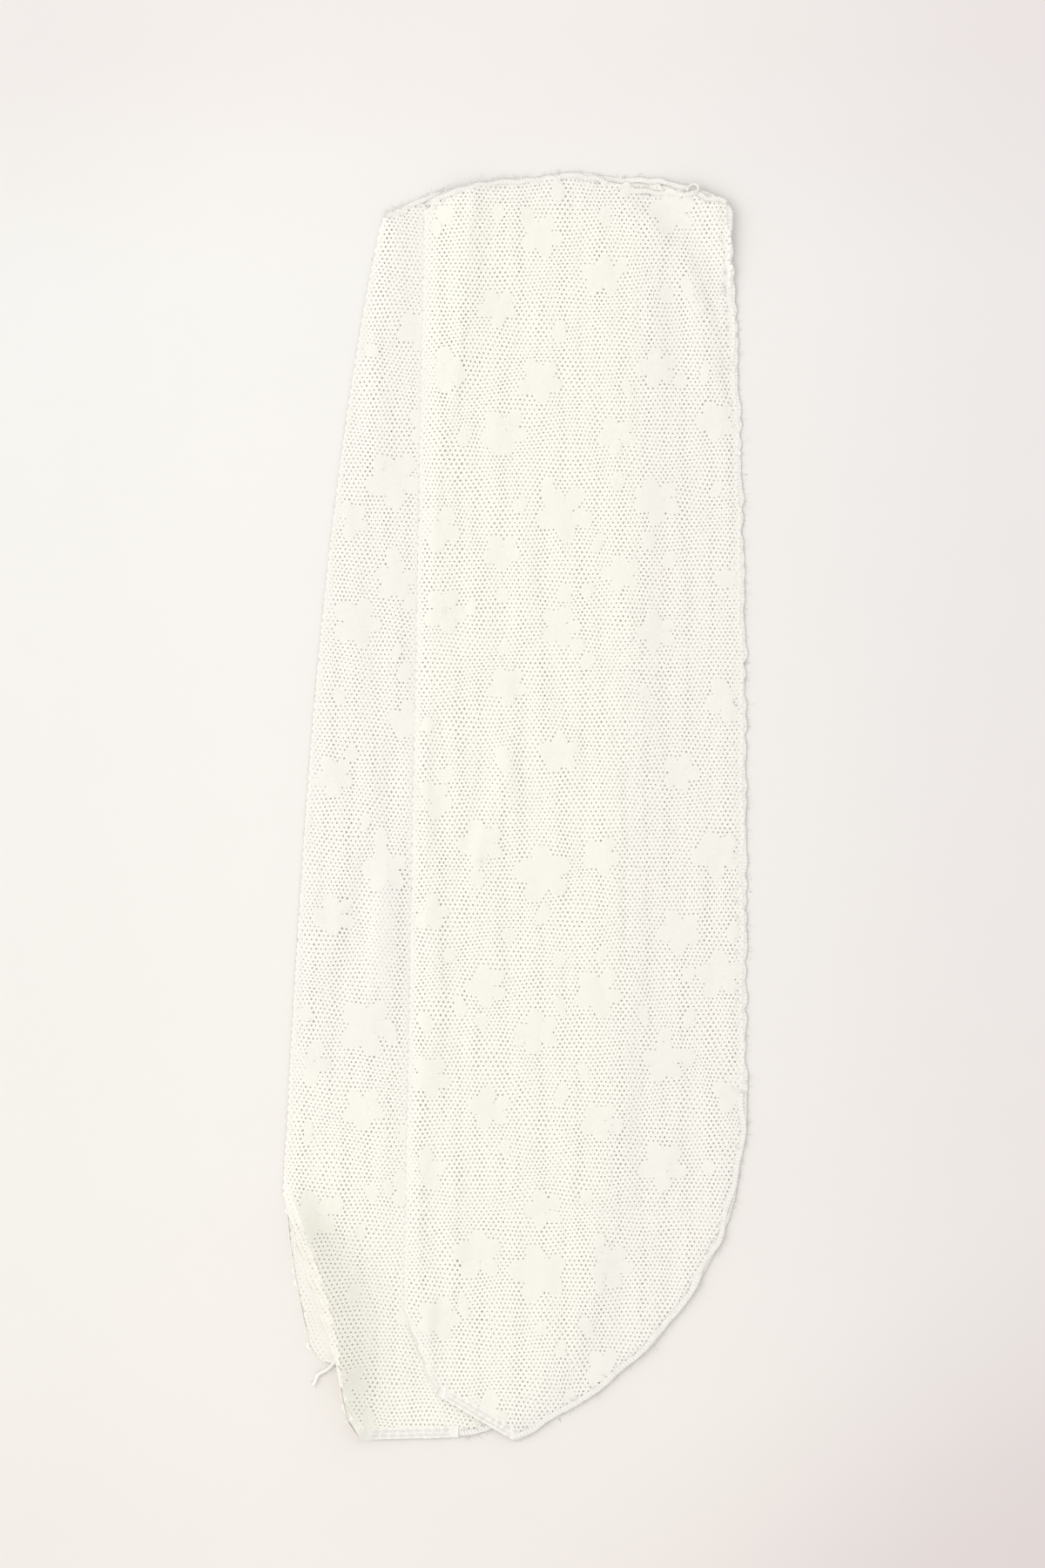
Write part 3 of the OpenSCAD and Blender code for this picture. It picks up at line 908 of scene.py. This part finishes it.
def lower_tail():
    """The end of the seam's thread chain, lying out on the table at the lower left."""
    root = LOWER.bend + TAIL_DROP * LOWER.turn_way
    way = np.array([math.cos(math.radians(TAIL_TURN)), math.sin(math.radians(TAIL_TURN))])
    t = np.linspace(-0.1, 1, 16)
    sideways = np.array([-way[1], way[0]])
    at = root + np.multiply.outer(t * TAIL_LEN, way)
    at = at + np.multiply.outer(0.9 * np.sin(2.6 * np.pi * t) * t, sideways)
    x, y = LOWER.world(at[:, 0], at[:, 1])
    return twisted(np.stack([x, y, 0.5 + 0.2 * np.sin(3 * t)], 1), TAIL_THICK, 2.2, 71)


def upper_tail():
    """The start of the upper seam's thread chain, curled up at the hand end."""
    turn = np.radians(-60 + np.linspace(0, 250, 40))
    r = CURL_R * (1 + 0.12 * np.sin(2 * turn))
    u = UPPER.half - CURL_IN + r * np.cos(turn)
    v = CURL_RISE + r * np.sin(turn)
    x, y = UPPER.world(u, v)
    _, front = heights(UPPER, x, y)
    z = np.maximum(0.5, front + 0.4 - 0.35 * np.maximum(v - 4, 0))
    return twisted(np.stack([x, y, z], 1), CURL_THICK, 2.0, 72)


# ---------------------------------------------------------------- materials


MOTTLE_SCALE = 55.0
BUMP_DEPTH = 0.0002


def cloth_material(name, pale, deep, roughness, sheen, grain, bump, through=0.0):
    """A matt white cloth or thread: a mottled colour and a fine fibre bump. through is how
    much of the light goes through it."""
    mat = bpy.data.materials.new(name)
    mat.use_nodes = True
    nodes, links = mat.node_tree.nodes, mat.node_tree.links
    shader = nodes["Principled BSDF"]
    shader.inputs["Roughness"].default_value = roughness
    shader.inputs["Sheen Weight"].default_value = sheen
    shader.inputs["Sheen Roughness"].default_value = 0.5
    shader.inputs["Specular IOR Level"].default_value = 0.25
    where = nodes.new("ShaderNodeTexCoord")
    mottle = nodes.new("ShaderNodeTexNoise")
    mottle.inputs["Scale"].default_value = MOTTLE_SCALE
    mottle.inputs["Detail"].default_value = 4.0
    fine = nodes.new("ShaderNodeTexNoise")
    fine.inputs["Scale"].default_value = grain
    fine.inputs["Detail"].default_value = 3.0
    ramp = nodes.new("ShaderNodeValToRGB")
    ramp.color_ramp.elements[0].position = 0.3
    ramp.color_ramp.elements[0].color = (*deep, 1)
    ramp.color_ramp.elements[1].position = 0.65
    ramp.color_ramp.elements[1].color = (*pale, 1)
    mixed = nodes.new("ShaderNodeMath")
    mixed.operation = "MULTIPLY_ADD"
    mixed.inputs[1].default_value = 0.5
    half = nodes.new("ShaderNodeMath")
    half.operation = "MULTIPLY"
    half.inputs[1].default_value = 0.5
    relief = nodes.new("ShaderNodeBump")
    relief.inputs["Strength"].default_value = bump
    relief.inputs["Distance"].default_value = BUMP_DEPTH
    for texture in (mottle, fine):
        links.new(where.outputs["Object"], texture.inputs["Vector"])
    links.new(mottle.outputs["Fac"], mixed.inputs[0])
    links.new(fine.outputs["Fac"], half.inputs[0])
    links.new(half.outputs[0], mixed.inputs[2])
    links.new(mixed.outputs[0], ramp.inputs["Fac"])
    links.new(ramp.outputs["Color"], shader.inputs["Base Color"])
    links.new(fine.outputs["Fac"], relief.inputs["Height"])
    links.new(relief.outputs["Normal"], shader.inputs["Normal"])
    if through:
        glow = nodes.new("ShaderNodeBsdfTranslucent")
        blend = nodes.new("ShaderNodeMixShader")
        blend.inputs["Fac"].default_value = through
        links.new(ramp.outputs["Color"], glow.inputs["Color"])
        links.new(shader.outputs[0], blend.inputs[1])
        links.new(glow.outputs[0], blend.inputs[2])
        links.new(blend.outputs[0], nodes["Material Output"].inputs["Surface"])
    return mat


lace_white = cloth_material(
    "ivory_lace_cloth", (0.893, 0.876, 0.831), (0.883, 0.867, 0.82), 0.85, 0.15, 2600, 0.2, 0.18
)
# Painted light: a creamier, brighter copy of the lace threads. It stands for the light that bounces
# between doubled layers, and it lightens the shaded slope at the lower glove's arm end.
lace_painted_light = cloth_material(
    "lace_cloth_painted_light", (0.913, 0.899, 0.829), (0.903, 0.889, 0.819), 0.85, 0.15, 2600, 0.2, 0.18
)
lace_ground = cloth_material(
    "ivory_lace_ground", (0.936, 0.92, 0.869), (0.921, 0.904, 0.852), 0.9, 0.1, 1400, 0.3, 0.2
)
# Painted light: a creamier copy of the back layer's material, for light bouncing between doubled
# layers.
ground_painted_light = cloth_material(
    "lace_ground_painted_light", (0.918, 0.906, 0.843), (0.903, 0.891, 0.827), 0.9, 0.1, 1400, 0.3, 0.2
)
lace_petal = cloth_material(
    "ivory_lace_petal", (0.88, 0.864, 0.814), (0.87, 0.855, 0.803), 0.9, 0.1, 1400, 0.3, 0.18
)
# Painted light: a creamier copy of the petals' material, for light bouncing between doubled layers.
petal_painted_light = cloth_material(
    "lace_petal_painted_light", (0.891, 0.878, 0.806), (0.882, 0.868, 0.794), 0.9, 0.1, 1400, 0.3, 0.18
)
thread_white = cloth_material(
    "overlock_thread_yarn", (0.777, 0.761, 0.729), (0.761, 0.745, 0.714), 0.8, 0.2, 3200, 0.2
)
hem_white = cloth_material(
    "hem_lace_cloth", (0.787, 0.774, 0.731), (0.765, 0.752, 0.709), 0.85, 0.15, 2400, 0.3
)
stitch_white = cloth_material(
    "stitch_thread_yarn", (0.766, 0.754, 0.726), (0.73, 0.719, 0.691), 0.7, 0.2, 3600, 0.4
)
tail_grey = cloth_material(
    "loose_thread_yarn", (0.9, 0.885, 0.86), (0.84, 0.825, 0.8), 0.75, 0.2, 3600, 0.4
)

# ---------------------------------------------------------------- pieces

BIG_FLOWERS = {
    "upper": [(-3.5, -100), (-10.5, -216), (-12, -344)],
    "lower": [(-33, -86), (-30, -262)],
}
SHEET_LEN = 0.405
WIDEST_V = -300
for glove, seed in ((LOWER, 100), (UPPER, 200)):
    g = glove.name
    body = g + "_glove"
    front_pattern = Pattern(glove, seed + 1, BIG_FLOWERS[g])
    back_pattern = Pattern(glove, seed + 2)
    area = ring_area(glove.outline())
    front = lace_layer(glove, front_pattern, 1, seed + 3, g + "_lace_upper_layer", lace_white)
    back = lace_layer(glove, back_pattern, -1, seed + 5, g + "_lace_under_layer", lace_ground)
    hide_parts(g + "_lace_front", g + "_lace_fold")
    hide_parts(g + "_lace_back")
    made = {
        "side_seam": (side_seam(glove, seed + 10), thread_white, "overlock_thread"),
        "hand_edge": (hand_edging(glove, seed + 20), thread_white, "overlock_thread"),
        "arm_edge": (arm_edging(glove, seed + 30), thread_white, "overlock_thread"),
        "hem_band": (hem(glove, seed + 40), hem_white, "hem_lace"),
        "hem_topstitch": (hem_stitches(glove, seed + 50), stitch_white, "stitch_thread"),
    }
    for node, ((points, faces), material, slot_name) in made.items():
        trim = new_piece(f"{g}_{node}_thread", points, faces, material)
        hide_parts(f"{g}_{node}")
        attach(trim, body)
    points, faces = lower_tail() if g == "lower" else upper_tail()
    tail = new_piece(g + "_loose_thread", points, faces, tail_grey if g == "lower" else thread_white)
    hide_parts(g + "_thread_tail")
    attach(tail, body)
    width, length = 2 * glove.half_w(WIDEST_V) * MM, SHEET_LEN
    for piece in (front, back):
        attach(piece, body)

# ---------------------------------------------------------------- floor, light and camera

floor_mesh = bpy.data.meshes.new("table_top")
half = 1.5
floor_mesh.from_pydata(
    [(-half, -half, 0), (half, -half, 0), (half, half, 0), (-half, half, 0)],
    [],
    [[0, 1, 2, 3]],
)
floor = bpy.data.objects.new("table_top", floor_mesh)
bpy.context.scene.collection.objects.link(floor)
paper = cloth_material(
    "table_paper", (0.7535, 0.746, 0.724), (0.7455, 0.738, 0.716), 0.9, 0.0, 900, 0.08
)
floor_mesh.materials.append(paper)


def tint_across(material, way, start, end, tint):
    """Multiply a material's colour by a tint that comes in between two places along a way."""
    nodes, links = material.node_tree.nodes, material.node_tree.links
    shader = nodes["Principled BSDF"]
    place = nodes.new("ShaderNodeTexCoord")
    along = nodes.new("ShaderNodeVectorMath")
    along.operation = "DOT_PRODUCT"
    along.inputs[1].default_value = (*way, 0.0)
    share = nodes.new("ShaderNodeMapRange")
    share.interpolation_type = "SMOOTHSTEP"
    share.inputs["From Min"].default_value = start
    share.inputs["From Max"].default_value = end
    blend = nodes.new("ShaderNodeMix")
    blend.data_type = "RGBA"
    blend.blend_type = "MULTIPLY"
    blend.inputs["B"].default_value = (*tint, 1)
    before = shader.inputs["Base Color"].links[0].from_socket
    links.new(place.outputs["Object"], along.inputs[0])
    links.new(along.outputs["Value"], share.inputs["Value"])
    links.new(share.outputs["Result"], blend.inputs["Factor"])
    links.new(before, blend.inputs["A"])
    links.new(blend.outputs["Result"], shader.inputs["Base Color"])


# The paper's uneven light: a way across the table, where the tint starts and ends, and the tint.
PAPER_TINTS = (
    ((0.0, -1.0), -0.25, 0.25, (1.0, 0.975, 0.955)),
    ((1.0, 0.0), -0.25, 0.25, (0.965, 0.96, 0.965)),
    ((-1.0, 0.0), 0.07, 0.17, (0.962, 0.965, 0.968)),
    ((1.0, 0.0), 0.04, 0.17, (0.955, 0.945, 0.965)),
    ((0.0, 1.0), 0.16, 0.25, (0.978, 0.947, 0.953)),
    ((0.0, -1.0), 0.16, 0.25, (0.99, 0.977, 0.983)),
    ((-0.55, 0.83), 0.2, 0.29, (0.973, 0.973, 0.973)),
    ((0.55, -0.83), 0.19, 0.29, (0.913, 0.895, 0.904)),
)
for way, start, end, tint in PAPER_TINTS:
    tint_across(paper, way, start, end, tint)


WINDOW_AT = (-1.15, 0.3, 0.95)
WINDOW_SIZE, WINDOW_POWER, WINDOW_COLOUR = 1.3, 7.2, (1.0, 0.99, 0.975)
SKY_COLOUR, SKY_STRENGTH = (1.0, 0.99, 0.98, 1), 1.085


def area_light(name, place, aim, size, power, colour):
    """A round lamp that faces a point."""
    data = bpy.data.lights.new(name, "AREA")
    data.shape = "DISK"
    data.size = size
    data.energy = power
    data.color = colour
    lamp = bpy.data.objects.new(name, data)
    lamp.location = place
    lamp.rotation_euler = (Vector(aim) - Vector(place)).to_track_quat("-Z", "Y").to_euler()
    bpy.context.scene.collection.objects.link(lamp)


area_light("window_light", WINDOW_AT, (0, 0, 0), WINDOW_SIZE, WINDOW_POWER, WINDOW_COLOUR)

world = bpy.data.worlds.new("studio")
bpy.context.scene.world = world
world.use_nodes = True
world.node_tree.nodes["Background"].inputs["Color"].default_value = SKY_COLOUR
world.node_tree.nodes["Background"].inputs["Strength"].default_value = SKY_STRENGTH
bpy.context.scene.view_settings.view_transform = "Standard"

VIEW_H = 0.504
LENS = 85.0
lens_data = bpy.data.cameras.new("top_camera")
lens_data.lens = LENS
camera = bpy.data.objects.new("top_camera", lens_data)
camera.location = (0.0025, 0.007, VIEW_H * LENS / lens_data.sensor_width)
bpy.context.scene.collection.objects.link(camera)
bpy.context.scene.camera = camera
